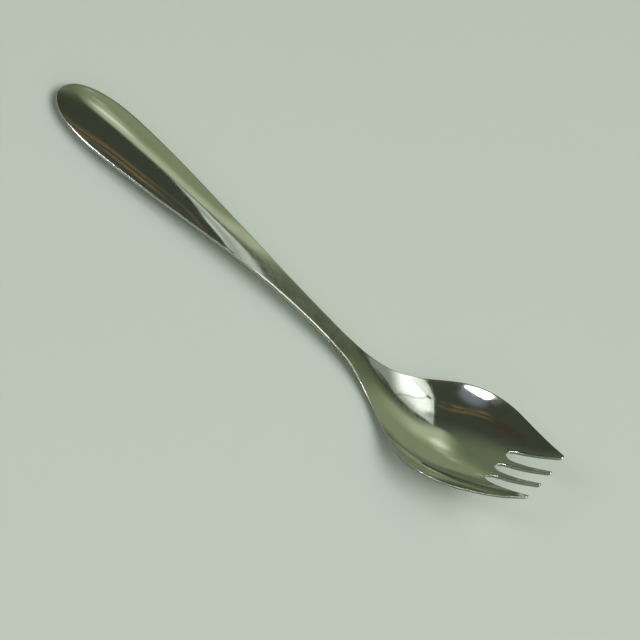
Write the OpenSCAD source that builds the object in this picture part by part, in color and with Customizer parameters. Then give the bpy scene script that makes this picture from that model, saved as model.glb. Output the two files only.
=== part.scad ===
// Serving spork with a hollow handle. The head is one stamping: bowl, tines, neck and tang.
// The tang lies between the two pressed half shells of the handle, which are welded all round
// their rim, and a second weld joins the handle to the neck.
// Lengths are in millimetres. The spork lies on z = 0 with its tines towards +X.

/* [Handle] */
// Length of the handle, from its round end to the neck
handle_l = 120; // [105:1:140]
// Width of the handle at its widest
handle_w = 20.6; // [17:0.2:26]
// Length of the round end, up to the widest place
handle_end_l = 22; // [16:0.5:30]
// Height of the crown above the side strip
crown_h = 2.2; // [1.6:0.1:5]
// Height of the flat side strip along the handle
side_h = 1.3; // [1:0.05:1.8]
// Wall thickness of the two shells
shell_t = 0.6; // [0.4:0.05:0.75]
// Height of the weld between the shells
seam_h = 0.3; // [0.2:0.05:0.4]
// Height of the seam above the table at the round end
end_z = 2.6; // [2:0.1:4]
// Height of the seam above the table at the top of the arch
arch_z = 6.6; // [5.5:0.1:12]
// Distance from the round end to the top of the arch
arch_x = 80; // [60:1:95]

/* [Neck] */
// Width of the neck where the handle is welded on
neck_w = 5.8; // [5:0.1:9]
// Thickness of the neck where the handle is welded on
neck_t = 2.2; // [2:0.1:3.2]
// Height of the middle of the neck above the table, at the weld
neck_z = 4.7; // [3:0.1:5.4]
// Thickness of the weld across the neck
neck_weld_t = 0.3; // [0.2:0.05:0.6]
// Length of the tang inside the handle
tang_l = 30; // [15:1:45]
// Gap between the tang and the shells
tang_gap = 0.05; // [0.02:0.01:0.1]

/* [Bowl] */
// Length of the head, from the weld to the tips of the outer tines
head_l = 80; // [70:1:100]
// Width of the bowl at its widest
bowl_w = 41.8; // [36:0.2:54]
// Depth of the bowl's middle below its rim
bowl_h = 6.9; // [4:0.1:10]
// Thickness of the sheet in the bowl
sheet_t = 1.5; // [1.2:0.05:2]
// Thickness of the sheet at the bowl's rim
rim_t = 0.9; // [0.7:0.05:1.4]
// Depth of the flat that is worn into the underside
seat_h = 0.1; // [0.05:0.01:0.2]

/* [Tines] */
// Height of the middle of the bowl's edge above the table, in line with the outer tips
tip_z = 24.8; // [18:0.2:30]
// Length of the slots between the tines, along the spork
slot_l = 14; // [10:0.5:18]
// Width of a slot at its root
slot_w = 3.5; // [2.6:0.1:3.8]
// Distance between the middles of two slots at the root
slot_pitch = 5.9; // [5.2:0.1:7]
// Width of a tine just before its tip
tip_w = 1.2; // [1:0.1:2.2]
// Distance of an inner tine's tip from the middle line
inner_tip_y = 3.1; // [2.4:0.1:4]
// Length by which the inner tines reach past the outer ones
inner_tip_l = 0.5; // [0:0.1:2]
// Thickness of the tines at their tips
tine_t = 1.3; // [1:0.05:1.5]

/* [Hidden] */
overall_l = handle_l + head_l + inner_tip_l;
steel = [0.72, 0.73, 0.68];
weld_steel = [0.62, 0.62, 0.58];
// The shells end at the neck weld
shells_l = handle_l - neck_weld_t;
// Full size of the first ring at the round end, as a share of the end's length
nose_share = 0.002;
// Roundness of the end in plan: 2 is an ellipse
end_power = 2.2;
// Roundness of the crown and belly across the handle
crown_power = 2;
// Roundness of the bowl across
bowl_power = 2.5;
// Fullness of the bowl's sheet towards its rim: higher keeps it thick for longer
rim_power = 3;
// Roundness of the handle's arch, from the round end to its top and from there to the neck
arch_power = 1.5;
neck_arch_power = 2;
// Steps along the round end, the rest of the handle and across half a shell
end_steps = 9;
handle_steps = 22;
shell_cols = 14;
// Steps along the bowl, a tine and its rounded tip
bowl_steps = 30;
tine_steps = 5;
tip_steps = 4;
tang_steps = 6;
// Columns across each tine and each slot, from the near edge to the far edge
band_cols = [6, 4, 3, 4, 3, 4, 6];

// Width along the handle, from neck to widest, by share of its length
handle_w_shares = [[0, 1], [0.1, 1], [0.2, 0.99], [0.3, 0.897], [0.4, 0.75], [0.5, 0.568],
                   [0.6, 0.382], [0.7, 0.218], [0.8, 0.094], [0.9, 0.018], [1, 0]];
// Height of the crown, and of the belly under it, by share of the handle's length
crown_shares = [[0, 1], [0.2, 1], [0.35, 0.82], [0.42, 0.72], [0.5, 0.55], [0.58, 0.26], [0.66, 0.08],
                [0.74, 0.012], [0.82, 0], [1, 0]];
// Growth of the side strip from the handle's height to the neck's thickness
side_shares = [[0, 0], [0.45, 0], [0.62, 0.33], [0.75, 0.72], [0.87, 0.95], [1, 1]];
// Width along the head, from neck to bowl, by share of its length
head_w_shares = [[0, 0], [0.0625, 0.015], [0.125, 0.046], [0.1875, 0.119], [0.25, 0.22],
                 [0.3125, 0.358], [0.375, 0.529], [0.4375, 0.715], [0.5, 0.88], [0.5625, 0.968],
                 [0.625, 1], [0.6875, 0.98], [0.75, 0.917], [0.8125, 0.815], [0.875, 0.706],
                 [0.9375, 0.58], [1, 0.433]];
// Fall of the head's middle line from the neck to the seat, and its rise to the tips
fall_shares = [[0, 1], [0.0625, 0.876], [0.125, 0.7], [0.1875, 0.41], [0.25, 0.16],
               [0.3125, 0.03], [0.375, 0], [1, 0]];
rise_shares = [[0, 0], [0.375, 0], [0.4375, 0.005], [0.5, 0.027], [0.5625, 0.073], [0.625, 0.14],
               [0.6875, 0.224], [0.75, 0.326], [0.8125, 0.444], [0.875, 0.584], [0.9375, 0.768], [1, 1]];
// Depth of the bowl under its rim, by share of the head's length
depth_shares = [[0, 0], [0.0625, 0], [0.125, 0.008], [0.1875, 0.04], [0.25, 0.1],
                [0.3125, 0.182], [0.375, 0.335], [0.4375, 0.568], [0.5, 0.79], [0.5625, 0.942],
                [0.625, 1], [0.6875, 0.99], [0.75, 0.907], [0.8125, 0.784], [0.875, 0.637],
                [0.9375, 0.43], [1, 0.2]];
// Thinning of the head from the neck to the bowl, and on towards the tips
neck_t_shares = [[0, 1], [0.1, 0.92], [0.25, 0.35], [0.4, 0], [1, 0]];
tine_t_shares = [[0, 0], [0.75, 0], [1, 1]];
// Thinning of the sheet from below towards its rim: none in the neck, little at the tips
rim_shares = [[0, 0], [0.12, 0], [0.3, 1], [0.85, 1], [1, 0.4]];

// Row of a table in which share s lies
function row_of(rows, s) = max([for (k = [0:len(rows) - 2]) rows[k][0] <= s ? k : 0]);
// Slope of the smooth curve through a table at row k
function slope_at(rows, k) =
    let (a = max(k - 1, 0), b = min(k + 1, len(rows) - 1))
    (rows[b][1] - rows[a][1]) / (rows[b][0] - rows[a][0]);
// Height of the smooth curve through a table at share s
function smooth_at(rows, s) =
    let (
        k = row_of(rows, s),
        gap = rows[k + 1][0] - rows[k][0],
        t = (s - rows[k][0]) / gap,
        u = 1 - t
    )
    u * u * (1 + 2 * t) * rows[k][1] + t * t * (3 - 2 * t) * rows[k + 1][1]
    + gap * t * u * (u * slope_at(rows, k) - t * slope_at(rows, k + 1));

// Share of the full size that a round end has at distance x from its tip
function end_share(x, end_l) = x >= end_l ? 1 : pow(1 - pow(1 - x / end_l, end_power), 1 / end_power);
// Height of the handle's seam above the table, in an arch from the round end to the neck
function seam_z(x) =
    x < arch_x
    ? arch_z - (arch_z - end_z) * pow(1 - x / arch_x, arch_power)
    : arch_z - (arch_z - neck_z) * pow((x - arch_x) / (handle_l - arch_x), neck_arch_power);
// Half height of the side strip
function side_half(x) = (side_h + (neck_t - side_h) * smooth_at(side_shares, x / handle_l)) / 2;
// Half width of the handle, leaving out the rounding of its end
function body_half_w(x) = neck_w / 2 + (handle_w - neck_w) / 2 * smooth_at(handle_w_shares, x / handle_l);
// Height share of the crown and belly, with the rounding of the end
function crown_share(x) = smooth_at(crown_shares, x / handle_l) * end_share(x, handle_end_l);

// Stations of the handle: close together on the round end, even on the rest
nose_x = handle_end_l * nose_share;
stations = concat(
    [for (i = [0:end_steps - 1]) nose_x + (handle_end_l - nose_x) * (1 - cos(90 * i / end_steps))],
    [for (i = [0:handle_steps]) handle_end_l + (shells_l - handle_end_l) * i / handle_steps]
);
rings = len(stations);
// The belly reaches just to the table
belly_h = min([for (x = stations) (seam_z(x) - side_half(x)) / max(crown_share(x), nose_share)]);
// Station of the cavity that goes with station x of the outside
function inner_x(x) = shell_t + x * (shells_l - shell_t) / shells_l;
// Half width of the cavity
function inner_half_w(x) =
    (body_half_w(x) - shell_t) * end_share(x - shell_t, handle_end_l - shell_t);
// Height of the cavity over the seam, on the middle line, for a crown or belly of height h
function inner_h(x, h) =
    seam_h / 2 + (side_half(x) + h * smooth_at(crown_shares, x / handle_l) - shell_t - seam_h / 2)
    * end_share(x - shell_t, handle_end_l - shell_t);
// Places from -1 to 1 across a shell: evenly for a count of steps
function across(count) = [for (j = [0:count]) 2 * j / count - 1];
// Outline of a shell at station x: seam edge, strip, crown or belly, strip, seam edge
function outer_row(x, h, up) =
    let (w = body_half_w(x) * end_share(x, handle_end_l), side = side_half(x), rise = h * crown_share(x))
    concat(
        [[x, -w, seam_z(x) + up * seam_h / 2]],
        [for (v = across(shell_cols))
            [x, w * v, seam_z(x) + up * (side + rise * (1 - pow(abs(v), crown_power)))]],
        [[x, w, seam_z(x) + up * seam_h / 2]]
    );
// Inside of a shell at station x, with as many points as its outline
function inner_row(x, h, up) =
    [for (v = across(shell_cols + 2))
        [x, inner_half_w(x) * v,
            seam_z(x) + up * (seam_h / 2 + (inner_h(x, h) - seam_h / 2) * (1 - pow(abs(v), crown_power)))]];

// Triangles of a net of points: vertex (i, j) is at start + i * step_u + j * step_v
function net(start, step_u, count_u, step_v, count_v) =
    [for (i = [0:count_u - 1], j = [0:count_v - 1])
        let (a = start + i * step_u + j * step_v, c = a + step_u + step_v)
        each [[a, a + step_v, c], [a, c, a + step_u]]];
function flipped(faces) = [for (f = faces) [for (k = [len(f) - 1:-1:0]) f[k]]];
function span(first, last) = [for (k = [first:last]) k];

// One half shell: up is 1 for the upper one and -1 for the lower one
module shell(h, up) {
    row = shell_cols + 3;
    ring = 2 * row;
    last = (rings - 1) * ring;
    points = [for (x = stations) each concat(outer_row(x, h, up), inner_row(inner_x(x), h, up))];
    faces = concat(
        net(0, ring, rings - 1, 1, row - 1),
        net(row, 1, row - 1, ring, rings - 1),
        net(0, row, 1, ring, rings - 1),
        net(row - 1, ring, rings - 1, row, 1),
        net(last, row, 1, 1, row - 1),
        flipped([span(0, row - 1)]),
        [span(row, ring - 1)],
        [[0, row, ring - 1], [0, ring - 1, row - 1]]
    );
    polyhedron(points, up > 0 ? faces : flipped(faces));
}

// Upper half shell of the handle, with the crown
module handle_upper_shell() {
    color(steel) translate([-overall_l / 2, 0, 0]) shell(crown_h, 1);
}

// Lower half shell of the handle, whose belly rests on the table
module handle_lower_shell() {
    color(steel) translate([-overall_l / 2, 0, 0]) shell(belly_h, -1);
}

// Weld that runs round the handle between the two shells
module handle_seam_weld() {
    ring = 8;
    last = (rings - 1) * ring;
    points = [for (x = stations)
        let (w = body_half_w(x) * end_share(x, handle_end_l), inner = inner_x(x), iw = inner_half_w(inner))
        each [for (side = [-1, 1], up = [1, -1]) each [
            [x, side * w, seam_z(x) + up * seam_h / 2],
            [inner, side * iw, seam_z(inner) + up * seam_h / 2]
        ]]];
    arms = rings - 1;
    near_arm = concat(
        net(0, ring, arms, 1, 1),
        net(2, 1, 1, ring, arms),
        net(0, 2, 1, ring, arms),
        net(1, ring, arms, 2, 1),
        net(last, 2, 1, 1, 1)
    );
    far_arm = concat(
        net(4, 1, 1, ring, arms),
        net(6, ring, arms, 1, 1),
        net(4, ring, arms, 2, 1),
        net(5, 2, 1, ring, arms),
        net(last + 4, 1, 1, 2, 1)
    );
    nose = [[4, 0, 2], [4, 2, 6], [1, 5, 7], [1, 7, 3], [0, 4, 5], [0, 5, 1], [2, 3, 7], [2, 7, 6]];
    color(weld_steel) translate([-overall_l / 2, 0, 0]) polyhedron(points, concat(near_arm, far_arm, nose));
}

// Height above the seam of the cavity at the neck, at place v across it
function neck_hole_h(v) =
    seam_h / 2 + (neck_t / 2 - shell_t - seam_h / 2) * (1 - pow(abs(v), crown_power));

// Weld across the neck: a plate with the neck's outline, through which the tang passes
module neck_weld() {
    half_w = neck_w / 2 - shell_t;
    hole = concat(
        [for (v = across(shell_cols)) [half_w * v, neck_hole_h(v)]],
        [for (v = across(shell_cols)) [-half_w * v, -neck_hole_h(v)]]
    );
    color(weld_steel) translate([shells_l - overall_l / 2, 0, neck_z]) rotate([90, 0, 90])
        linear_extrude(neck_weld_t) difference() {
            square([neck_w, neck_t], center = true);
            polygon(hole);
        }
}

// Stations of the outer tips, and of the tines' start just ahead of the slots' rounded roots
outer_tip_x = handle_l + head_l;
root_x = outer_tip_x - slot_l + slot_w / 2;
// Height of the sheet's middle where the spork rests
seat_mid_z = sheet_t / 2 - seat_h;
// Length over which the rows before the slots bend round their roots
root_bend_l = 2 * slot_w;
// Length of a tine's rounded tip
tip_round_l = tip_w / 2;
// How far round the tip its last row lies: 1 would be a point
tip_round_share = 0.95;
// Step for measuring the steepness of the sheet
probe_l = sheet_t / 8;

function head_share(x) = max((x - handle_l) / head_l, 0);
function head_half_w(x) = neck_w / 2 + (bowl_w - neck_w) / 2 * smooth_at(head_w_shares, head_share(x));
// Height of the middle of the sheet at a place in plan
function sheet_z(x, y) =
    let (s = head_share(x))
    seat_mid_z + (neck_z - seat_mid_z) * smooth_at(fall_shares, s)
    + (tip_z - seat_mid_z) * smooth_at(rise_shares, s)
    + bowl_h * smooth_at(depth_shares, s) * pow(abs(y) / head_half_w(x), bowl_power);
function sheet_thickness(x) =
    let (s = head_share(x))
    sheet_t + (neck_t - sheet_t) * smooth_at(neck_t_shares, s)
    + (tine_t - sheet_t) * smooth_at(tine_t_shares, s);
// Half of the sheet's upright thickness, which grows where the sheet is steep
function upright_half_t(x, y) =
    let (
        back = max(x - probe_l, handle_l),
        dx = (sheet_z(x + probe_l, y) - sheet_z(back, y)) / (x + probe_l - back),
        dy = (sheet_z(x, abs(y) + probe_l) - sheet_z(x, abs(y) - probe_l)) / (2 * probe_l)
    )
    sheet_thickness(x) / 2 * (x > handle_l ? sqrt(1 + dx * dx + dy * dy) : 1);
// Share of the half thickness that lies under the sheet's middle: less near the rim
function under_share(x, y) =
    let (edge = min(abs(y) / head_half_w(x), 1))
    1 - 2 * (1 - rim_t / sheet_t) * smooth_at(rim_shares, head_share(x)) * pow(edge, rim_power);
// The underside is flat where it would dip below the table
function sheet_point(x, y, up) =
    let (z = sheet_z(x, y) + up * upright_half_t(x, y) * (up < 0 ? under_share(x, y) : 1))
    [x, y, up < 0 ? max(z, 0) : z];

// Edges of the tines and slots at the roots, from the near side to the far side
root_w = head_half_w(root_x);
root_edges = [for (side = [-1, 1]) each side < 0
    ? [-root_w, -slot_pitch - slot_w / 2, -slot_pitch + slot_w / 2, -slot_w / 2]
    : [slot_w / 2, slot_pitch - slot_w / 2, slot_pitch + slot_w / 2, root_w]];
// The same edges at the tips
tip_half_w = head_half_w(outer_tip_x);
tip_edges = [
    -tip_half_w, tip_w - tip_half_w, -inner_tip_y - tip_w / 2, -inner_tip_y + tip_w / 2,
    inner_tip_y - tip_w / 2, inner_tip_y + tip_w / 2, tip_half_w - tip_w, tip_half_w
];
function is_slot(band) = band % 2 == 1;
function sum_to(list, n) = n == 0 ? 0 : list[n - 1] + sum_to(list, n - 1);
band_starts = [for (b = [0:len(band_cols)]) sum_to(band_cols, b)];
cols = band_starts[len(band_cols)];
function band_of(j) = max([for (b = [0:len(band_cols) - 1]) band_starts[b] <= j ? b : 0]);
// Place of column j in a row with the given band edges
function col_y(edges, j) =
    let (b = band_of(min(j, cols - 1)), t = (j - band_starts[b]) / band_cols[b])
    edges[b] + (edges[b + 1] - edges[b]) * t;
col_shares = [for (j = [0:cols]) col_y(root_edges, j) / root_w];
// How far column j draws back at the roots, in a half circle across each slot
function root_back(j) =
    let (b = band_of(min(j, cols - 1)), t = 2 * (j - band_starts[b]) / band_cols[b] - 1)
    is_slot(b) ? slot_w / 2 * sqrt(1 - t * t) : 0;

// Edges of the tines at station x: outer ones follow the outline, inner ones run straight
function edges_at(x) =
    let (
        t = (x - root_x) / (outer_tip_x - root_x),
        w = head_half_w(x),
        plain = [for (e = [0:len(root_edges) - 1])
            e == 0 ? -w : e == len(root_edges) - 1 ? w : root_edges[e] + (tip_edges[e] - root_edges[e]) * t],
        left = max(x - (outer_tip_x - tip_round_l), 0) / tip_round_l * tip_round_share,
        narrow = sqrt(1 - left * left)
    )
    [for (e = [0:len(plain) - 1])
        let (b = e - e % 2, middle = (plain[b] + plain[b + 1]) / 2)
        middle + (plain[e] - middle) * narrow];

// Half width and half thickness of the tang, which tapers away from the neck
tang_half_w = neck_w / 2 - shell_t - tang_gap;
tang_taper_share = 0.7;
tang_end_share = 0.4;
function tang_size(t) = t == 0 ? tang_end_share : tang_taper_share + (1 - tang_taper_share) * t;
function tang_rows() =
    [for (i = [0:tang_steps])
        let (t = i / tang_steps, x = handle_l - tang_l * (1 - t), size = tang_size(t))
        each [for (up = [1, -1]) each [for (v = col_shares)
            [x, tang_half_w * v * size, seam_z(x) + up * size * (neck_hole_h(v) - tang_gap)]]]];
// Rows of the neck and bowl, which end at the tine roots
function bowl_rows() =
    [for (i = [0:bowl_steps])
        let (
            x = handle_l + (root_x - handle_l) * i / bowl_steps,
            bend = max(1 - (root_x - x) / root_bend_l, 0)
        )
        each [for (up = [1, -1]) each [for (j = [0:cols])
            let (here = x - root_back(j) * bend)
            sheet_point(here, head_half_w(here) * col_shares[j], up)]]];
tine_stations = concat(
    [for (i = [1:tine_steps]) root_x + (outer_tip_x - tip_round_l - root_x) * i / tine_steps],
    [for (i = [1:tip_steps]) outer_tip_x - tip_round_l * (1 - sin(90 * i / tip_steps))]
);
// The inner tines are bands 2 and 4, and they are a little longer than the outer ones
inner_first = band_starts[2];
inner_last = band_starts[5];
inner_stretch = (overall_l - root_x) / (outer_tip_x - root_x);
// Station of column j at station x of the outer tines
function tine_x(x, j) = j >= inner_first && j <= inner_last ? root_x + (x - root_x) * inner_stretch : x;
function tine_rows() =
    [for (x = tine_stations)
        let (edges = edges_at(x))
        each [for (up = [1, -1]) each [for (j = [0:cols]) sheet_point(tine_x(x, j), col_y(edges, j), up)]]];

// Bowl, tines, neck and tang in one piece
module spork_head() {
    row = cols + 1;
    ring = 2 * row;
    body_rings = tang_steps + bowl_steps + 1;
    tine_rings = len(tine_stations);
    root = body_rings * ring;
    tip = root + tine_rings * ring;
    points = concat(tang_rows(), bowl_rows(), tine_rows());
    body = concat(
        net(0, ring, body_rings, 1, cols),
        net(row, 1, cols, ring, body_rings),
        net(0, row, 1, ring, body_rings),
        net(cols, ring, body_rings, row, 1),
        net(0, 1, cols, row, 1)
    );
    tines = [for (b = [0:len(band_cols) - 1])
        let (j = band_starts[b], n = band_cols[b])
        each is_slot(b) ? net(root + j, row, 1, 1, n) : concat(
            net(root + j, ring, tine_rings, 1, n),
            net(root + row + j, 1, n, ring, tine_rings),
            net(root + j, row, 1, ring, tine_rings),
            net(root + j + n, ring, tine_rings, row, 1),
            net(tip + j, row, 1, 1, n)
        )];
    color(steel) translate([-overall_l / 2, 0, 0]) polyhedron(points, concat(body, tines));
}

spork_head();
handle_upper_shell();
handle_lower_shell();
handle_seam_weld();
neck_weld();
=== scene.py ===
# %% [markdown]
# # A serving spork in polished steel
#
# This lesson dresses a spork whose solids were made beforehand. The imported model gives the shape
# and the sizes: a stamped head with bowl and tines, two half shells that form the hollow handle, a
# weld between the shells and a weld across the neck. The solids are made of flat facets, and a
# mirror finish shows every one of them, so each piece is rebuilt here as a smooth mesh over the same
# points, with rounded edges, and gets its steel finish.

# %% Load the frame
import math

import bpy
from mathutils import Matrix, Quaternion, Vector


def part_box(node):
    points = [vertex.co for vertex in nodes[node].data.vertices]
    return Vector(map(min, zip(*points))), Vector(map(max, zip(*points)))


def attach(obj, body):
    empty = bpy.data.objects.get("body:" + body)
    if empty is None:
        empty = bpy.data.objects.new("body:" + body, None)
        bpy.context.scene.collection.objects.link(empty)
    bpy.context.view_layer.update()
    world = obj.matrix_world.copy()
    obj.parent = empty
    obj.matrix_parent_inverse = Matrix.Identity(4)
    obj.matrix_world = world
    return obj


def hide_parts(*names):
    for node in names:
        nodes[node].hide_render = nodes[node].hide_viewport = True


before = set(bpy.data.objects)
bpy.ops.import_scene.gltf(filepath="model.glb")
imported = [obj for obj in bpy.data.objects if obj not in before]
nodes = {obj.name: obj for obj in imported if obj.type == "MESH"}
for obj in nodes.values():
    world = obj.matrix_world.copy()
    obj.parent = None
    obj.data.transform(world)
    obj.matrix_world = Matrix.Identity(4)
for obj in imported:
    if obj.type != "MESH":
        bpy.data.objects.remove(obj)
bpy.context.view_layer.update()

MM = 0.001
print("nodes:", ", ".join(sorted(nodes)))

# %% [markdown]
# ## The camera
#
# A long lens from about a metre away flattens the perspective, as in a catalogue picture. The camera
# is placed by its azimuth round the spork, its height above the table and its roll, which are the
# three numbers that a photographer would turn on a tripod head.

# %% Place the camera
SENSOR_W = 36.0
IMAGE_W_PX = 640
FOCAL_PX = 3500
AIM = Vector((12.7, 0.9, 4.5)) * MM
CAMERA_DISTANCE = 1.124
CAMERA_AZIMUTH = math.radians(6.37)
CAMERA_ELEVATION = math.radians(55.04)
CAMERA_ROLL = math.radians(37.45)


def direction(azimuth, elevation):
    """Unit vector that points from the spork to a place at that azimuth and elevation."""
    level = math.cos(elevation)
    return Vector((level * math.sin(azimuth), -level * math.cos(azimuth), math.sin(elevation)))


def facing(back, roll=0.0):
    """Rotation of a camera or lamp whose back points along a direction."""
    right = Quaternion(back, roll) @ Vector((0, 0, 1)).cross(back).normalized()
    return Matrix((right, back.cross(right), back)).transposed()


def put(thing, back, distance, aim, roll=0.0):
    """Puts a camera or lamp at a distance from a point, looking at it."""
    thing.matrix_world = Matrix.Translation(aim + back * distance) @ facing(back, roll).to_4x4()


camera = bpy.data.objects.new("camera", bpy.data.cameras.new("camera"))
bpy.context.scene.collection.objects.link(camera)
bpy.context.scene.camera = camera
camera.data.sensor_width = SENSOR_W
camera.data.lens = SENSOR_W * FOCAL_PX / IMAGE_W_PX
put(camera, direction(CAMERA_AZIMUTH, CAMERA_ELEVATION), CAMERA_DISTANCE, AIM, CAMERA_ROLL)
print("lens in mm:", round(camera.data.lens, 1))

# %% [markdown]
# ## Smooth pieces from faceted solids
#
# Each solid was drawn as rows of points, so its triangles pair up into a neat grid of quads. Such a
# grid could be modelled again from nothing, but then it would only come near the solid. A copy of
# the node keeps every size: its loose triangles are merged and paired, the sharp edges get a small
# bevel, and a subdivision surface turns the rest into one smooth skin.

# %% A copy in quads
MERGE_GAP = 0.002 * MM
GRID_INFLUENCE = 2.0
ANY_ANGLE = math.pi


def select_only(piece):
    """Selects one object and makes it active."""
    bpy.ops.object.select_all(action="DESELECT")
    piece.select_set(True)
    bpy.context.view_layer.objects.active = piece


def copy_as_quads(node, name):
    """Copies a node's mesh, merges its loose triangles and pairs them into quads."""
    piece = bpy.data.objects.new(name, nodes[node].data.copy())
    bpy.context.scene.collection.objects.link(piece)
    select_only(piece)
    bpy.ops.object.mode_set(mode="EDIT")
    bpy.ops.mesh.select_all(action="SELECT")
    bpy.ops.mesh.remove_doubles(threshold=MERGE_GAP)
    bpy.ops.mesh.tris_convert_to_quads(
        face_threshold=ANY_ANGLE, shape_threshold=ANY_ANGLE, topology_influence=GRID_INFLUENCE
    )
    bpy.ops.object.mode_set(mode="OBJECT")
    piece.data.materials.clear()
    quads = sum(len(face.vertices) == 4 for face in piece.data.polygons)
    print(name, "faces:", len(piece.data.polygons), "of which quads:", quads)
    return piece


# %% [markdown]
# ## Rounded edges and a smooth skin
#
# A sharp edge is one where the two faces beside it bend away from each other. Such edges are found
# in code and selected, and then the bevel works on them as it does by hand. An edge that has to stay
# sharp gets a full crease instead, which the subdivision respects. While the mesh is still coarse,
# the faces that the cutting tool left and the rounding under them are marked, so that their finish
# can differ and a painted shade can go on them.

# %% Round and smooth
BEVEL_SEGMENTS = 2
ROUND_PROFILE = 0.5
FULL_CREASE = 1.0
CUT_FACE_TILT = 0.3
SKIN_LEVELS = 2


def select_edges(piece, test):
    """Selects the edges whose bend and two ends pass a test, and returns how many did."""
    select_only(piece)
    bpy.ops.object.mode_set(mode="EDIT")
    bpy.ops.mesh.select_mode(type="EDGE")
    bpy.ops.mesh.select_all(action="DESELECT")
    bpy.ops.object.mode_set(mode="OBJECT")
    mesh = piece.data
    faces_of = {}
    for face in mesh.polygons:
        for key in face.edge_keys:
            faces_of.setdefault(key, []).append(face)
    count = 0
    for edge in mesh.edges:
        pair = faces_of[edge.key]
        bend = pair[0].normal.angle(pair[1].normal, 0.0)
        ends = [mesh.vertices[v].co for v in edge.vertices]
        edge.select = test(bend, ends)
        count += edge.select
    bpy.ops.object.mode_set(mode="EDIT")
    return count


def mark(piece, name, test):
    """Writes 1 on the corners of the faces that pass a test, under a name that the finish reads."""
    marks = piece.data.attributes.new(name, "FLOAT", "POINT")
    for face in piece.data.polygons:
        if test(face):
            for v in face.vertices:
                marks.data[v].value = 1.0


def dull_and_shaded_face(face):
    """Whether a face is upright or the rounding under one: these get a duller finish and painted shade.
    """
    return face.normal.z < 0 if face.select else abs(face.normal.z) < CUT_FACE_TILT


def round_edges(piece, radius, bend_limit, keep):
    """Bevels the sharp edges, apart from those to be kept sharp, which get a crease."""
    beveled = select_edges(piece, lambda bend, ends: bend > bend_limit and not keep(ends))
    bpy.ops.mesh.bevel(offset=radius, segments=BEVEL_SEGMENTS, profile=ROUND_PROFILE, affect="EDGES")
    bpy.ops.object.mode_set(mode="OBJECT")
    mark(piece, "rounding", lambda face: face.select)
    # Upright faces and the rounding under them are marked for a duller finish and painted shade
    mark(piece, "cut", dull_and_shaded_face)
    creased = select_edges(piece, lambda bend, ends: bend > bend_limit and keep(ends))
    if creased:
        bpy.ops.transform.edge_crease(value=FULL_CREASE)
        bpy.ops.mesh.mark_sharp()
    bpy.ops.object.mode_set(mode="OBJECT")
    print(piece.name, "rounded edges:", beveled, "kept sharp:", creased)


def subdivide(piece, levels):
    """Turns the quads into a smooth skin."""
    select_only(piece)
    skin = piece.modifiers.new("skin", "SUBSURF")
    skin.levels = levels
    skin.render_levels = levels
    bpy.ops.object.modifier_apply(modifier=skin.name)
    bpy.ops.object.shade_smooth()
    print(piece.name, "faces after subdivision:", len(piece.data.polygons))


# %% [markdown]
# ## The head
#
# Bowl, tines and neck are one sheet, blanked and pressed, so the head is one piece. Its rim is cut
# and then only touched by the wheel, which leaves a small radius along every cut edge. The bevel
# takes all sharp edges at once, since they run round the rim and between the tines without a break.
# The tang that reaches into the handle stays as it was cut, with sharp edges.

# %% Make the head
NECK_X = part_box("neck_weld")[1].x
EDGE_BEND = math.radians(38)
JOINT_GAP = 0.02 * MM
RIM_RADIUS = 0.28 * MM


def within_tang(ends):
    """Whether an edge belongs to the tang or to the step where the neck meets the weld."""
    return max(end.x for end in ends) < NECK_X + JOINT_GAP


head = copy_as_quads("spork_head", "polished_head")
round_edges(head, RIM_RADIUS, EDGE_BEND, keep=within_tang)
subdivide(head, SKIN_LEVELS)

# %% [markdown]
# ## The handle
#
# The handle is hollow: two pressed half shells that meet along a seam at half their height. The
# shoulder between crown and side is rounded. The edges at the seam stay sharp, because the weld
# fills the joint between them and is ground flush, and a bevel there would leave a groove.

# %% Make the handle
EDGE_RADIUS = 0.25 * MM
DECIMALS = 5
SHELL_END_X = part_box("neck_weld")[0].x


def in_mm(point):
    """A point as three rounded numbers, so that equal points can be found in a set."""
    return tuple(round(c / MM, DECIMALS) for c in point)


weld_points = {in_mm(corner.co) for corner in nodes["handle_seam_weld"].data.vertices}


def meets_weld(ends):
    """Whether an edge lies on the weld between the shells or on the one across the neck."""
    on_seam = all(in_mm(end) in weld_points for end in ends)
    return on_seam or all(abs(end.x - SHELL_END_X) < JOINT_GAP for end in ends)


upper_shell = copy_as_quads("handle_upper_shell", "polished_upper_shell")
lower_shell = copy_as_quads("handle_lower_shell", "polished_lower_shell")
for shell in (upper_shell, lower_shell):
    round_edges(shell, EDGE_RADIUS, EDGE_BEND, keep=meets_weld)
    subdivide(shell, SKIN_LEVELS)

# %% [markdown]
# ## The welds
#
# The weld between the shells is a thin band round their rim. It follows the same rows of points as
# the shells, so the same subdivision keeps it flush with them. The neck weld is a plain ring of
# 0.3 mm between handle and neck, where only the four long corners are rounded, as on the neck.

# %% Make the welds
NECK_CORNER_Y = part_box("neck_weld")[1].y


def off_corner(ends):
    """Whether an edge is any other than the four long corners of the neck weld."""
    crosswise = abs(ends[0].x - ends[1].x) < JOINT_GAP
    return crosswise or any(abs(end.y) < NECK_CORNER_Y - JOINT_GAP for end in ends)


seam = copy_as_quads("handle_seam_weld", "ground_seam_weld")
round_edges(seam, EDGE_RADIUS, EDGE_BEND, keep=lambda ends: True)
subdivide(seam, SKIN_LEVELS)
neck_joint = copy_as_quads("neck_weld", "ground_neck_weld")
round_edges(neck_joint, EDGE_RADIUS, EDGE_BEND, keep=off_corner)

# %% [markdown]
# ## The finish
#
# Cutlery steel is buffed on cloth wheels until it mirrors, but never perfectly. The wheels leave
# fine lines along the spork, the sheet keeps a faint grain and a slow waviness from the press, and
# use adds hairline scratches and dull smudges. Each of these is a small node group, and the welds
# share most of them. Heights are in micrometres, as a polisher would measure them.

# %% Helpers for node groups
MICRON = 0.000001


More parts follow.
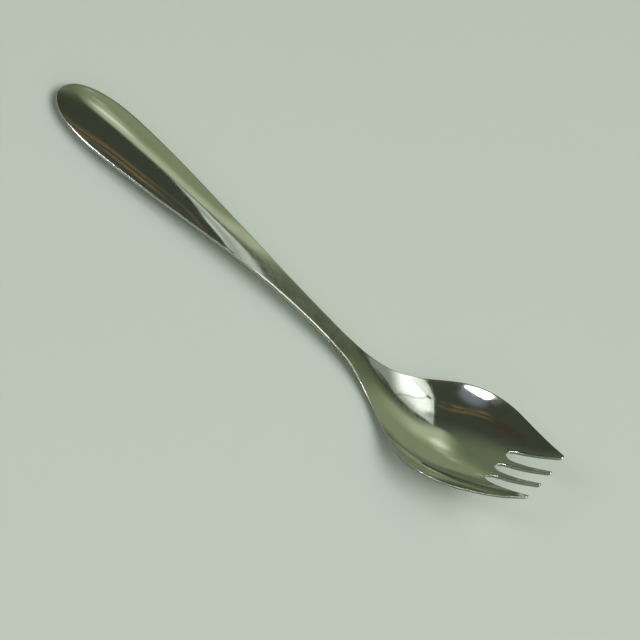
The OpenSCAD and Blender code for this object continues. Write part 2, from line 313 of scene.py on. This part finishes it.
def new_group(name, inputs, output):
    """An empty node group with named numbers and a place as inputs, and one number as output."""
    group = bpy.data.node_groups.new(name, "ShaderNodeTree")
    group.interface.new_socket("Place", in_out="INPUT", socket_type="NodeSocketVector")
    for label in inputs:
        group.interface.new_socket(label, in_out="INPUT", socket_type="NodeSocketFloat")
    group.interface.new_socket(output, in_out="OUTPUT", socket_type="NodeSocketFloat")
    return group, group.nodes.new("NodeGroupInput").outputs, group.nodes.new("NodeGroupOutput").inputs


def calculate(tree, operation, first, second=0.0):
    """One step of arithmetic on one or two sockets or numbers."""
    step = tree.nodes.new("ShaderNodeMath")
    step.operation = operation
    for socket, value in zip(step.inputs, (first, second)):
        if isinstance(value, (int, float)):
            socket.default_value = value
        else:
            tree.links.new(value, socket)
    return step.outputs["Value"]


def stretched(tree, place, lengths):
    """A place in units of the given lengths along X, Y and Z, which are sockets in millimetres."""
    unit = tree.nodes.new("ShaderNodeCombineXYZ")
    for socket, length in zip(unit.inputs, lengths):
        tree.links.new(length, socket)
    metres = tree.nodes.new("ShaderNodeVectorMath")
    metres.operation = "SCALE"
    metres.inputs["Scale"].default_value = MM
    tree.links.new(unit.outputs["Vector"], metres.inputs[0])
    counted = tree.nodes.new("ShaderNodeVectorMath")
    counted.operation = "DIVIDE"
    tree.links.new(place, counted.inputs[0])
    tree.links.new(metres.outputs["Vector"], counted.inputs[1])
    return counted.outputs["Vector"]


# %% [markdown]
# ## Noise and masks
#
# Nearly every finish comes down to two steps: a cloudy noise says where something is, and a soft
# step turns it into a mask from 0 to 1. A third one lays a colour over another by such a mask.

# %% Helpers for noise and masks
def noise(tree, place, detail):
    """Cloudy noise of about one cloud for each unit of the place."""
    clouds = tree.nodes.new("ShaderNodeTexNoise")
    clouds.inputs["Scale"].default_value = 1
    clouds.inputs["Detail"].default_value = detail
    tree.links.new(place, clouds.inputs["Vector"])
    return clouds.outputs["Fac"]


def above(tree, value, start, end):
    """0 at the start and before it, 1 at the end and past it, with a soft step between."""
    step = tree.nodes.new("ShaderNodeMapRange")
    step.interpolation_type = "SMOOTHSTEP"
    step.inputs["From Min"].default_value = start
    step.inputs["From Max"].default_value = end
    tree.links.new(value, step.inputs["Value"])
    return step.outputs["Result"]


def paint(tree, under, color, mask):
    """Lays a colour over the colour or socket under it, where the mask says."""
    mixed = tree.nodes.new("ShaderNodeMix")
    mixed.data_type = "RGBA"
    mixed.inputs["B"].default_value = (*color, 1)
    tree.links.new(mask, mixed.inputs["Factor"])
    if isinstance(under, tuple):
        mixed.inputs["A"].default_value = (*under, 1)
    else:
        tree.links.new(under, mixed.inputs["A"])
    return mixed.outputs["Result"]


# %% [markdown]
# ## Lines from the polishing wheel
#
# The last wheel runs along the spork and leaves lines far longer than they are wide. A noise that is
# stretched along X gives them, and its height is handed on, so that the metal itself says how deep
# they are. A wave texture would be too regular.

# %% Lines from the polishing wheel
LINE_DETAIL = 3
polishing_lines, given, result = new_group("polishing lines", ("Length", "Spacing"), "Height")
along = stretched(polishing_lines, given["Place"], (given["Length"], given["Spacing"], given["Spacing"]))
polishing_lines.links.new(noise(polishing_lines, along, LINE_DETAIL), result["Height"])
print("node group:", polishing_lines.name)

# %% [markdown]
# ## Grain and waviness
#
# Rolled and pressed sheet is never quite flat: fine grain breaks up a reflection, and long waves
# make it swim a little. The same group serves for both, with another size.

# %% Grain and waviness of the sheet
SHEET_DETAIL = 1
sheet_relief, given, result = new_group("sheet relief", ("Size",), "Height")
spots = stretched(sheet_relief, given["Place"], (given["Size"], given["Size"], given["Size"]))
sheet_relief.links.new(noise(sheet_relief, spots, SHEET_DETAIL), result["Height"])
print("node group:", sheet_relief.name)

# %% [markdown]
# ## Hairline scratches
#
# Use leaves fine scratches that cross each other. Three stretched noises, each turned to its own
# direction and cut off high, leave only their thinnest peaks, and the largest of them is the mask.

# %% Hairline scratches
SCRATCH_TURNS = (33, 118, 164)
SCRATCH_DETAIL = 0
SCRATCH_CUT = (0.70, 0.76)
hairlines, given, result = new_group("hairline scratches", ("Length", "Spacing"), "Mask")
mask = 0.0
for turn in SCRATCH_TURNS:
    turned = hairlines.nodes.new("ShaderNodeVectorRotate")
    turned.rotation_type = "Z_AXIS"
    turned.inputs["Angle"].default_value = math.radians(turn)
    hairlines.links.new(given["Place"], turned.inputs["Vector"])
    sizes = (given["Length"], given["Spacing"], given["Length"])
    peaks = noise(hairlines, stretched(hairlines, turned.outputs["Vector"], sizes), SCRATCH_DETAIL)
    mask = calculate(hairlines, "MAXIMUM", mask, above(hairlines, peaks, *SCRATCH_CUT))
hairlines.links.new(mask, result["Mask"])
print("node group:", hairlines.name, "directions:", len(SCRATCH_TURNS))

# %% [markdown]
# ## Smudges
#
# A handled spork has dull patches of a centimetre or so. They are a cloudy noise with a soft cut,
# which is easier to place by size than painted marks and has no seams.

# %% Smudges
SMUDGE_DETAIL = 4
SMUDGE_CUT = (0.45, 0.75)
smudges, given, result = new_group("smudges", ("Size",), "Mask")
clouds = stretched(smudges, given["Place"], (given["Size"], given["Size"], given["Size"]))
smudges.links.new(above(smudges, noise(smudges, clouds, SMUDGE_DETAIL), *SMUDGE_CUT), result["Mask"])
print("node group:", smudges.name)


# %% [markdown]
# ## A metal and its finish
#
# Both materials are bare steel: a Principled BSDF at full Metallic. The function makes the metal and
# hands back the tools that give it tint, roughness and relief.

# %% Steel
def steel(name, color):
    """A metal with its colour, and the tools that give it a finish."""
    made = bpy.data.materials.new(name)
    made.use_nodes = True
    tree = made.node_tree
    shader = tree.nodes["Principled BSDF"]
    shader.inputs["Metallic"].default_value = 1
    place = tree.nodes.new("ShaderNodeTexCoord").outputs["Object"]

    def effect(group, **numbers):
        """Adds a node group with its numbers set and returns its output."""
        node = tree.nodes.new("ShaderNodeGroup")
        node.node_tree = group
        tree.links.new(place, node.inputs["Place"])
        for label, value in numbers.items():
            node.inputs[label].default_value = value
        return node.outputs[0]

    def tint(*added):
        """Colour: the clean metal, with other colours over it by masks and their shares."""
        tinted = color
        for mask, share, other in added:
            tinted = paint(tree, tinted, other, calculate(tree, "MULTIPLY", mask, share))
        tree.links.new(tinted, shader.inputs["Base Color"])

    def roughen(smoothest, *added):
        """Roughness: a smallest value and shares of masks on top of it."""
        total = smoothest
        for mask, share in added:
            total = calculate(tree, "ADD", total, calculate(tree, "MULTIPLY", mask, share))
        tree.links.new(total, shader.inputs["Roughness"])

    def emboss(*added):
        """Relief: heights with their sizes in micrometres."""
        total = 0.0
        for height, microns in added:
            total = calculate(tree, "ADD", total, calculate(tree, "MULTIPLY", height, microns))
        relief = tree.nodes.new("ShaderNodeBump")
        relief.inputs["Distance"].default_value = MICRON
        tree.links.new(total, relief.inputs["Height"])
        tree.links.new(relief.outputs["Normal"], shader.inputs["Normal"])

    return made, effect, tint, roughen, emboss


# %% [markdown]
# ## Polished steel
#
# Head and shells get the mirror finish. Smudges and scratches dull it slightly, and so do the
# rounded edges, which only meet the wheel in passing. The cut sides of rim and tines and the edge
# under them, which no wheel reaches, are duller. They and the upright sides of the shells also carry
# a painted shade in their colour, much darker than the steel: the mark that was written on them
# while the mesh was still coarse says where they are.

# %% Polished steel
POLISHED_COLOR = (0.62, 0.63, 0.585)
SMUDGED_COLOR = (0.52, 0.52, 0.455)
# Painted shade: the upright sides are coloured far darker than their duller finish alone would make them
CUT_SIDE_SHADE_COLOR = (0.20, 0.21, 0.15)
CUT_FADE = (0.6, 0.95)
MIRROR_ROUGHNESS = 0.04
polished, effect, tint, roughen, emboss = steel("polished_steel", POLISHED_COLOR)
edge_wear = polished.node_tree.nodes.new("ShaderNodeAttribute")
edge_wear.attribute_name = "rounding"
edge_wear = edge_wear.outputs["Fac"]
# The mark on the upright sides and the rounding under them, where a duller finish and painted shade go
dull_and_shaded_side = polished.node_tree.nodes.new("ShaderNodeAttribute")
dull_and_shaded_side.attribute_name = "cut"
dull_and_shaded_side = above(polished.node_tree, dull_and_shaded_side.outputs["Fac"], *CUT_FADE)
wheel = effect(polishing_lines, Length=18, Spacing=0.14)
grain = effect(sheet_relief, Size=0.3)
waves = effect(sheet_relief, Size=7)
scratches = effect(hairlines, Length=6, Spacing=0.09)
dulled = effect(smudges, Size=9)
# The dark colour on the upright sides is painted shade that stands in for the dark they mirror; their
# roughness is a real duller finish
# How strong each effect is: shares for colour and roughness, micrometres for relief
tint((dulled, 0.45, SMUDGED_COLOR), (dull_and_shaded_side, 1.0, CUT_SIDE_SHADE_COLOR))
roughen(MIRROR_ROUGHNESS, (dulled, 0.05), (scratches, 0.08), (edge_wear, 0.06), (dull_and_shaded_side, 0.14))
emboss((wheel, 0.35), (grain, 1.6), (waves, 9), (scratches, -0.5))
print("material:", polished.name)

# %% [markdown]
# ## Ground welds
#
# The welds were ground flush by a finer, shorter stroke. They keep tiny pits and a trace of heat
# colour, so the joint shows only as a faint line.

# %% Ground welds
WELD_COLOR = (0.595, 0.605, 0.56)
HEAT_COLOR = (0.48, 0.465, 0.405)
ground, effect, tint, roughen, emboss = steel("ground_weld", WELD_COLOR)
grinding = effect(polishing_lines, Length=1.5, Spacing=0.05)
pits = effect(sheet_relief, Size=0.12)
heat = effect(smudges, Size=3)
tint((heat, 0.5, HEAT_COLOR))
roughen(MIRROR_ROUGHNESS, (grinding, 0.05), (heat, 0.05))
emboss((grinding, 0.15), (pits, 0.3))
print("material:", ground.name)

# %% [markdown]
# ## Dressing the pieces
#
# Each piece takes the place of its node, rides on the one body of the spork and gets its finish.

# %% Dress the pieces
for piece, node, slot, material in (
    (head, "spork_head", "polished_steel", polished),
    (upper_shell, "handle_upper_shell", "polished_steel", polished),
    (lower_shell, "handle_lower_shell", "polished_steel", polished),
    (seam, "handle_seam_weld", "weld_bead", ground),
    (neck_joint, "neck_weld", "weld_bead", ground),
):
    piece.data.materials.append(material)
    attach(piece, "root")
    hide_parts(node)
    print(piece.name, "takes the place of", node, "with", material.name)

# %% [markdown]
# ## The studio
#
# A mirror has no colour of its own: what it shows is the room. The spork lies on a sheet of pale
# paper in a dim olive room, and two large soft boxes that the steel doesn't mirror give nearly all
# the light. What the steel does mirror is hung round it as glowing sheets, which the camera doesn't
# see and which cast no light on the paper but a faint sheen: a pale wall behind, the shaded end of
# the table before it, a row of windows in front, a wooden stand and an umbrella above. They hang
# close, since handle and bowl see a near thing from different sides and a far thing from the same.

# %% The table
FLOOR_SIZE = 12
PAPER_COLOR = (0.497, 0.552, 0.497)
PAPER_ROUGHNESS = 0.8
bpy.ops.mesh.primitive_plane_add(size=FLOOR_SIZE)
floor = bpy.context.object
floor.name = "floor"
paper = bpy.data.materials.new("pale_table")
paper.use_nodes = True
paper.node_tree.nodes["Principled BSDF"].inputs["Base Color"].default_value = (*PAPER_COLOR, 1)
paper.node_tree.nodes["Principled BSDF"].inputs["Roughness"].default_value = PAPER_ROUGHNESS
floor.data.materials.append(paper)
print("paper:", FLOOR_SIZE, "m wide")

# %% [markdown]
# ## What the tools for the room do
#
# A painted sheet is a few soft patches of colour laid over each other. Each helper below gives a
# measure over the sheet, such as the distance from a point, or turns one into a mask.

# %% Helpers for painting the room
def seen_from(tree, place, point):
    """A place measured from a point."""
    moved = tree.nodes.new("ShaderNodeVectorMath")
    moved.operation = "SUBTRACT"
    moved.inputs[1].default_value = point
    tree.links.new(place, moved.inputs[0])
    return moved.outputs["Vector"]


def distance_to(tree, place, point):
    """How far a place is from a point."""
    length = tree.nodes.new("ShaderNodeVectorMath")
    length.operation = "LENGTH"
    tree.links.new(seen_from(tree, place, point), length.inputs[0])
    return length.outputs["Value"]


def spot(tree, place, point, inner, outer):
    """1 round a point, fading to 0 between two distances from it."""
    return above(tree, distance_to(tree, place, point), outer, inner)


def split(tree, place):
    """The three numbers of a place."""
    parts = tree.nodes.new("ShaderNodeSeparateXYZ")
    tree.links.new(place, parts.inputs["Vector"])
    return parts.outputs["X"], parts.outputs["Y"], parts.outputs["Z"]


def between(tree, value, rise, fall):
    """1 between two soft steps, each given by where it starts from 0 and where it reaches 1."""
    return calculate(tree, "MULTIPLY", above(tree, value, *rise), above(tree, value, *fall))


def darkened(tree, strength, mask, share):
    """A strength, lowered by a share of itself where the mask says."""
    kept = calculate(tree, "SUBTRACT", 1.0, calculate(tree, "MULTIPLY", mask, share))
    return calculate(tree, "MULTIPLY", strength, kept)


# %% [markdown]
# ## A glowing sheet
#
# Each sheet is a flat face between its corners. It glows by an Emission shader and is hidden from the
# camera, so that the picture shows it only where the steel mirrors it.

# %% Helper that hangs a sheet
ROOM_LIGHT = 1.16


def hang_sheet(name, corners):
    """Hangs a glowing sheet in the room and returns what its paint needs: tree, place and glow."""
    bpy.ops.mesh.primitive_circle_add(vertices=len(corners), fill_type="NGON")
    sheet = bpy.context.object
    sheet.name = name
    for vertex, corner in zip(sheet.data.vertices, corners):
        vertex.co = corner
    sheet.visible_camera = False
    sheet.visible_diffuse = False
    sheet.visible_shadow = False
    cloth = bpy.data.materials.new(name)
    cloth.use_nodes = True
    tree = cloth.node_tree
    tree.nodes.clear()
    glow = tree.nodes.new("ShaderNodeEmission")
    glow.inputs["Strength"].default_value = ROOM_LIGHT
    out = tree.nodes.new("ShaderNodeOutputMaterial")
    tree.links.new(glow.outputs["Emission"], out.inputs["Surface"])
    sheet.data.materials.append(cloth)
    return tree, tree.nodes.new("ShaderNodeTexCoord").outputs["Object"], glow


# %% [markdown]
# ## The room
#
# Far walls and corners are only soft glows round chosen directions, so the world's own colour does
# for them.

# %% The room
ROOM_SHADE = (0.053, 0.061, 0.044)
# Azimuth and elevation of each glow in degrees, its inner and outer radius, and its colour
ROOM_GLOWS = (
    ("side wall", 90, 15, 40, 75, (0.30, 0.33, 0.25)),
    ("left wall", 222, 14, 16, 44, (0.155, 0.18, 0.11)),
    ("far corner", 165, 14, 25, 42, (0.22, 0.25, 0.15)),
    ("haze round the small lamp", 321, 48, 8, 21, (0.15, 0.165, 0.19)),
)
room = bpy.data.worlds.new("room")
bpy.context.scene.world = room
room.use_nodes = True
wires = room.node_tree
looking = wires.nodes.new("ShaderNodeTexCoord").outputs["Generated"]
walls = ROOM_SHADE
for label, azimuth, elevation, inner, outer, color in ROOM_GLOWS:
    toward = direction(math.radians(azimuth), math.radians(elevation))
    chords = [2 * math.sin(math.radians(angle) / 2) for angle in (inner, outer)]
    walls = paint(wires, walls, color, spot(wires, looking, toward, *chords))
    print("glow on the room:", label)
wires.links.new(walls, wires.nodes["Background"].inputs["Color"])
wires.nodes["Background"].inputs["Strength"].default_value = ROOM_LIGHT

# %% [markdown]
# ## The wall
#
# The far sides of bowl and handle mirror a pale wall. It is brighter towards the top left, where a
# lamp stands near it.

# %% The pale wall behind the spork
WALL_Y = 0.38
WALL_LEFT = -0.34
WALL_RIGHT = 0.6
WALL_TOP = 0.6
WALL_COLOR = (0.255, 0.29, 0.175)
LAMPLIT_COLOR = (0.475, 0.53, 0.355)
LAMPLIT_UP = (0.26, 0.42)
LAMPLIT_LEFT = (0.13, -0.12)
wall_corners = ((WALL_LEFT, 0), (WALL_RIGHT, 0), (WALL_RIGHT, WALL_TOP), (WALL_LEFT, WALL_TOP))
tree, place, glow = hang_sheet("pale_wall", [(x, WALL_Y, z) for x, z in wall_corners])
across, _, height = split(tree, place)
lamplit = above(tree, across, *LAMPLIT_LEFT)
lamplit = calculate(tree, "MULTIPLY", above(tree, height, *LAMPLIT_UP), lamplit)
wall = paint(tree, WALL_COLOR, LAMPLIT_COLOR, lamplit)
print("wall behind, at y in m:", WALL_Y)

# %% [markdown]
# ## Light and shade on the wall
#
# Round patches of light and dark break the wall up, as real things in front of a wall do. Straight
# fades then darken its two ends, its foot and the part that goes up into the ceiling.

# %% Paint the wall
# Place across and up the wall, inner and outer radius, and colour of each light or dark patch
for x, z, inner, outer, color in (
    (-0.225, 0.225, 0.0, 0.04, (0.42, 0.46, 0.34)),
    (-0.245, 0.105, 0.0, 0.03, (0.42, 0.48, 0.34)),
    (-0.14, 0.02, 0.02, 0.06, (0.05, 0.05, 0.04)),
    (-0.21, 0.285, 0.0, 0.06, (0.45, 0.49, 0.345)),
    (-0.225, 0.372, 0.01, 0.075, (0.82, 0.88, 0.69)),
):
    wall = paint(tree, wall, color, spot(tree, place, (x, WALL_Y, z), inner, outer))
# Measure that each fade follows, where it starts and is full, and its colour: ends, ceiling, foot
for measure, start, full, color in (
    (across, -0.25, -0.33, (0.17, 0.205, 0.115)),
    (across, 0.06, 0.28, (0.125, 0.15, 0.085)),
    (height, 0.475, 0.58, (0.065, 0.076, 0.05)),
    (height, 0.10, 0.02, (0.14, 0.16, 0.11)),
):
    wall = paint(tree, wall, color, above(tree, measure, start, full))
tree.links.new(wall, glow.inputs["Color"])
print("wall from x in m:", WALL_LEFT, "to", WALL_RIGHT)

# %% [markdown]
# ## The far end of the table
#
# The tips of the tines look along the table, past the round end of the handle and towards the wall.
# There the paper has ended and the table lies in the shade of the room. A sheet just above the
# paper stands for it, and it stays away from the spork, so that the steel mirrors its own shadow.

# %% The shaded table
TABLE_Z = 0.0005
TABLE_OUTLINE = ((-0.9, -0.4), (-0.13, -0.4), (-0.13, 0.07), (0.6, 0.07), (0.6, 0.38), (-0.9, 0.38))
TABLE_COLOR = (0.21, 0.24, 0.155)
DARKEST_COLOR = (0.06, 0.06, 0.05)
DARKEST_PLACE = (-0.08, 0.25, TABLE_Z)
DARKEST_RADII = (0.03, 0.12)
tree, place, glow = hang_sheet("shaded_table", [(x, y, TABLE_Z) for x, y in TABLE_OUTLINE])
table = paint(tree, TABLE_COLOR, DARKEST_COLOR, spot(tree, place, DARKEST_PLACE, *DARKEST_RADII))
tree.links.new(table, glow.inputs["Color"])
print("shaded table corners:", len(TABLE_OUTLINE))

# %% [markdown]
# ## The windows
#
# A low row of bright panes in front never reaches the broad faces. Only the rounded near edges
# mirror it, squeezed into the thin white line that makes an edge look crisp. The brightest pane, at
# the far left, is the one that the climbing near rim of the bowl turns to. The gap between two panes
# is what the rim mirrors further on, where it looks dark.

# %% The windows in front
# Left and right foot of each pane, its lowest and highest place, and its strength
WINDOWS = (
    ("window_far_left", (-0.62, -0.9), (-0.30, -0.9), 0.36, 0.68, 20),
    ("window_left", (-0.30, -0.9), (-0.12, -0.9), 0.42, 0.58, 7),
    ("window_right", (0.02, -0.9), (0.36, -0.9), 0.36, 0.66, 12),
    ("window_far_right", (0.36, -0.9), (1.2, -0.2), 0.36, 0.66, 18),
)
for name, left, right, low, high, strength in WINDOWS:
    _, _, glow = hang_sheet(name, [(*left, low), (*right, low), (*right, high), (*left, high)])
    glow.inputs["Strength"].default_value = strength
    print(name, "strength:", strength)

# %% [markdown]
# ## The stand
#
# The dark side of the bowl and handle shows a piece of wooden furniture: brown streaks along a slat,
# which runs level at the left and bends towards the wall at the right. The wood is one noise,
# stretched along the slat, and everything on it is measured from the slat's middle line.

# %% The wooden stand and its slat
STAND_Z = 0.405
STAND_LEFT = -0.7
STAND_BACK = 0.07
STAND_FRONT = -0.25
SLAT_Y = -0.085
SLAT_RISE = 0.13
SLAT_BEND = (-0.34, -0.02)
STREAK_WIDTH = 0.010
STREAK_LENGTH = 0.11
WOOD_DETAIL = 3
stand_corners = (
    (STAND_LEFT, STAND_FRONT), (0, STAND_FRONT), (0, STAND_BACK), (STAND_LEFT, STAND_BACK),
)
tree, place, glow = hang_sheet("wooden_stand", [(x, y, STAND_Z) for x, y in stand_corners])
x, y, _ = split(tree, place)
bent = calculate(tree, "MULTIPLY", above(tree, x, *SLAT_BEND), SLAT_RISE)
off_slat = calculate(tree, "SUBTRACT", calculate(tree, "SUBTRACT", y, SLAT_Y), bent)
along = tree.nodes.new("ShaderNodeCombineXYZ")
tree.links.new(calculate(tree, "DIVIDE", x, STREAK_LENGTH), along.inputs["X"])
tree.links.new(calculate(tree, "DIVIDE", off_slat, STREAK_WIDTH), along.inputs["Y"])
wood = noise(tree, along.outputs["Vector"], WOOD_DETAIL)
print("stand above, at z in m:", STAND_Z)

# %% [markdown]
# ## Colours and places on the stand
#
# There is dark wood at the left, streaks on the slat with one thin crack along them, grey wood at
# the slat's right end, and a bluish haze round the small lamp.

# %% Colours and places on the stand
DARK_WOOD_COLOR = (0.060, 0.048, 0.031)
STREAK_COLOR = (0.205, 0.157, 0.072)
CRACK_COLOR = (0.032, 0.026, 0.022)
GREY_WOOD_COLOR = (0.057, 0.066, 0.052)
HAZE_COLOR = (0.19, 0.21, 0.26)
# Where each soft step starts from 0 and reaches 1: along X, along Y or across the slat
STREAKS_RISE = (-0.40, -0.26)
STREAKS_FALL = (-0.01, -0.06)
LEFT_WOOD = (-0.28, -0.42)
WOOD_RISE = (-0.14, -0.08)
WOOD_FALL = (0.05, -0.01)
SLAT_FRONT = (-0.06, -0.02)
SLAT_BACK = (0.05, 0.015)
CRACK_SIDES = (0.009, 0.003)
on_slat = between(tree, off_slat, SLAT_FRONT, SLAT_BACK)
streaked = between(tree, x, STREAKS_RISE, STREAKS_FALL)
dark_band = between(tree, y, WOOD_RISE, WOOD_FALL)
dark_wood = calculate(tree, "MULTIPLY", dark_band, above(tree, x, *LEFT_WOOD))
print("slat from x in m:", STREAKS_RISE[0], "to", STREAKS_FALL[0])

# %% [markdown]
# ## Layers of paint
#
# The layers go on from the widest to the smallest. The crack wanders a little by the same noise as
# the streaks, so that it stays in line with them.

# %% Lay the paint on the stand
STREAK_CUT = (0.38, 0.58)
NOISE_MIDDLE = 0.5
CRACK_WANDERING = 0.03
GREY_PLACE = (-0.095, 0.02, STAND_Z)
GREY_RADII = (0.015, 0.045)
HAZE_PLACE = (-0.17, -0.22, STAND_Z)
HAZE_RADII = (0.04, 0.15)
stand = paint(tree, ROOM_SHADE, DARK_WOOD_COLOR, dark_wood)
streaks = calculate(tree, "MULTIPLY", above(tree, wood, *STREAK_CUT), on_slat)
stand = paint(tree, stand, STREAK_COLOR, calculate(tree, "MULTIPLY", streaks, streaked))
centred = calculate(tree, "SUBTRACT", wood, NOISE_MIDDLE)
wandering = calculate(tree, "MULTIPLY", centred, CRACK_WANDERING)
off_crack = calculate(tree, "ABSOLUTE", calculate(tree, "ADD", off_slat, wandering))
crack = calculate(tree, "MULTIPLY", above(tree, off_crack, *CRACK_SIDES), streaked)
stand = paint(tree, stand, CRACK_COLOR, crack)
stand = paint(tree, stand, GREY_WOOD_COLOR, spot(tree, place, GREY_PLACE, *GREY_RADII))
stand = paint(tree, stand, HAZE_COLOR, spot(tree, place, HAZE_PLACE, *HAZE_RADII))
tree.links.new(stand, glow.inputs["Color"])
print("streaks in m:", STREAK_LENGTH, "by", STREAK_WIDTH)

# %% [markdown]
# ## The umbrella
#
# A white umbrella hangs nearly overhead, and its straight edge cuts across the bowl. A lamp shines
# into it, so the cloth is bright in a band along that edge and dims towards the far side, to the
# back and at one slack patch.

# %% The umbrella and its light
UMBRELLA_Z = 0.4
UMBRELLA_EDGE = (-0.134, 0.279)
UMBRELLA_OUTLINE = (
    UMBRELLA_EDGE, (-0.06, 0.258), (0.03, 0.256), (0.073, 0.248), (0.098, 0.233), (0.119, 0.215),
    (0.154, 0.20), (0.191, 0.208), (0.212, 0.246), (0.33, 0.1), (0.3, -0.17), (0.1, -0.168),
)
EDGE_NORMAL = (0.884, 0.467)
BAND_RISE = (-0.06, 0.06)
BAND_FALL = (0.185, 0.06)
BACK_LIGHT = 0.3
BACK_FADE = (-0.02, -0.10)
SLACK_PLACE = (-0.07, 0.20, UMBRELLA_Z)
SLACK_RADII = (0.01, 0.06)
SLACK_DARKENING = 0.85
tree, place, glow = hang_sheet("umbrella", [(x, y, UMBRELLA_Z) for x, y in UMBRELLA_OUTLINE])
x, y, _ = split(tree, seen_from(tree, place, (*UMBRELLA_EDGE, UMBRELLA_Z)))
across_x = calculate(tree, "MULTIPLY", x, EDGE_NORMAL[0])
from_edge = calculate(tree, "ADD", across_x, calculate(tree, "MULTIPLY", y, EDGE_NORMAL[1]))
lit = between(tree, from_edge, BAND_RISE, BAND_FALL)
front = calculate(tree, "MULTIPLY", above(tree, y, *BACK_FADE), 1 - BACK_LIGHT)
lit = calculate(tree, "MULTIPLY", lit, calculate(tree, "ADD", BACK_LIGHT, front))
lit = darkened(tree, lit, spot(tree, place, SLACK_PLACE, *SLACK_RADII), SLACK_DARKENING)
print("umbrella corners:", len(UMBRELLA_OUTLINE))

# %% [markdown]
# ## Ribs of the umbrella
#
# The ribs meet at a small dark hub. Each is a line from the hub at its own angle, and the cloth is
# brightest in the petal between the first two of them.

# %% Ribs and hub
CLOTH_COLOR = (0.91, 1.0, 0.90)
CLOTH_GLOW = 1.25
PETAL_GLOW = 0.7
UNLIT_GLOW = 0.37
HUB = (0.013, 0.041, UMBRELLA_Z)
HUB_RADII = (0.004, 0.018)
# Angle of each rib round the hub in degrees and how far it darkens the cloth
RIBS = ((-40, 0.7), (77, 0.7), (94, -0.2), (112, -0.2), (128, 0.3), (-75, 0.3))
RIB_SIDES = (0.005, 0.0)
RIB_START = (0, 0.1)
PETAL_SOFTNESS = 0.01
x, y, _ = split(tree, seen_from(tree, place, HUB))
angle = calculate(tree, "ARCTAN2", y, x)
from_hub = distance_to(tree, place, HUB)
first, second = (math.radians(turn) for turn, _ in RIBS[:2])
petal_rise = (first - PETAL_SOFTNESS, first + PETAL_SOFTNESS)
petal_fall = (second + PETAL_SOFTNESS, second - PETAL_SOFTNESS)
petal = calculate(tree, "MULTIPLY", between(tree, angle, petal_rise, petal_fall), PETAL_GLOW)
strength = calculate(tree, "MULTIPLY", lit, calculate(tree, "ADD", CLOTH_GLOW, petal))
strength = calculate(tree, "ADD", UNLIT_GLOW, strength)
for turn, darkening in RIBS:
    off_turn = calculate(tree, "SUBTRACT", angle, math.radians(turn))
    sideways = calculate(tree, "ABSOLUTE", calculate(tree, "SINE", off_turn))
    off_rib = calculate(tree, "MULTIPLY", sideways, from_hub)
    ahead = above(tree, calculate(tree, "COSINE", off_turn), *RIB_START)
    rib = calculate(tree, "MULTIPLY", above(tree, off_rib, *RIB_SIDES), ahead)
    strength = darkened(tree, strength, rib, darkening)
strength = calculate(tree, "MULTIPLY", strength, above(tree, from_hub, *HUB_RADII))
tree.links.new(strength, glow.inputs["Strength"])
glow.inputs["Color"].default_value = (*CLOTH_COLOR, 1)
print("umbrella ribs:", len(RIBS))

# %% [markdown]
# ## The lamps
#
# Two soft boxes light the paper and give the soft shadow on the near side. They are left out of the
# reflections. The small box is the one that shows, as the white patch in the bowl.

# %% The lamps
def soft_box(name, azimuth, elevation, distance, width, height, radiance, mirrored):
    """A soft lamp that looks at the spork; its radiance is how bright its face is."""
    lamp = bpy.data.objects.new(name, bpy.data.lights.new(name, "AREA"))
    bpy.context.scene.collection.objects.link(lamp)
    lamp.data.shape = "RECTANGLE"
    lamp.data.size = width
    lamp.data.size_y = height
    lamp.data.energy = radiance * math.pi * width * height
    lamp.visible_camera = False
    lamp.visible_glossy = mirrored
    put(lamp, direction(math.radians(azimuth), math.radians(elevation)), distance, AIM)
    print(name, "power in W:", round(lamp.data.energy, 1))


# Azimuth and elevation in degrees, distance, width and height in m, radiance, and whether mirrored
for lamp_row in (
    ("side_box", 88, 64, 2.6, 1.9, 1.9, 4.5, False),
    ("back_box", 148, 54, 2.6, 1.4, 1.4, 1.4, False),
    ("small_box", 322.5, 49, 1.2, 0.32, 0.38, 6.0, True),
):
    soft_box(*lamp_row)

bpy.context.scene.view_settings.view_transform = "Standard"
print("view transform:", bpy.context.scene.view_settings.view_transform)
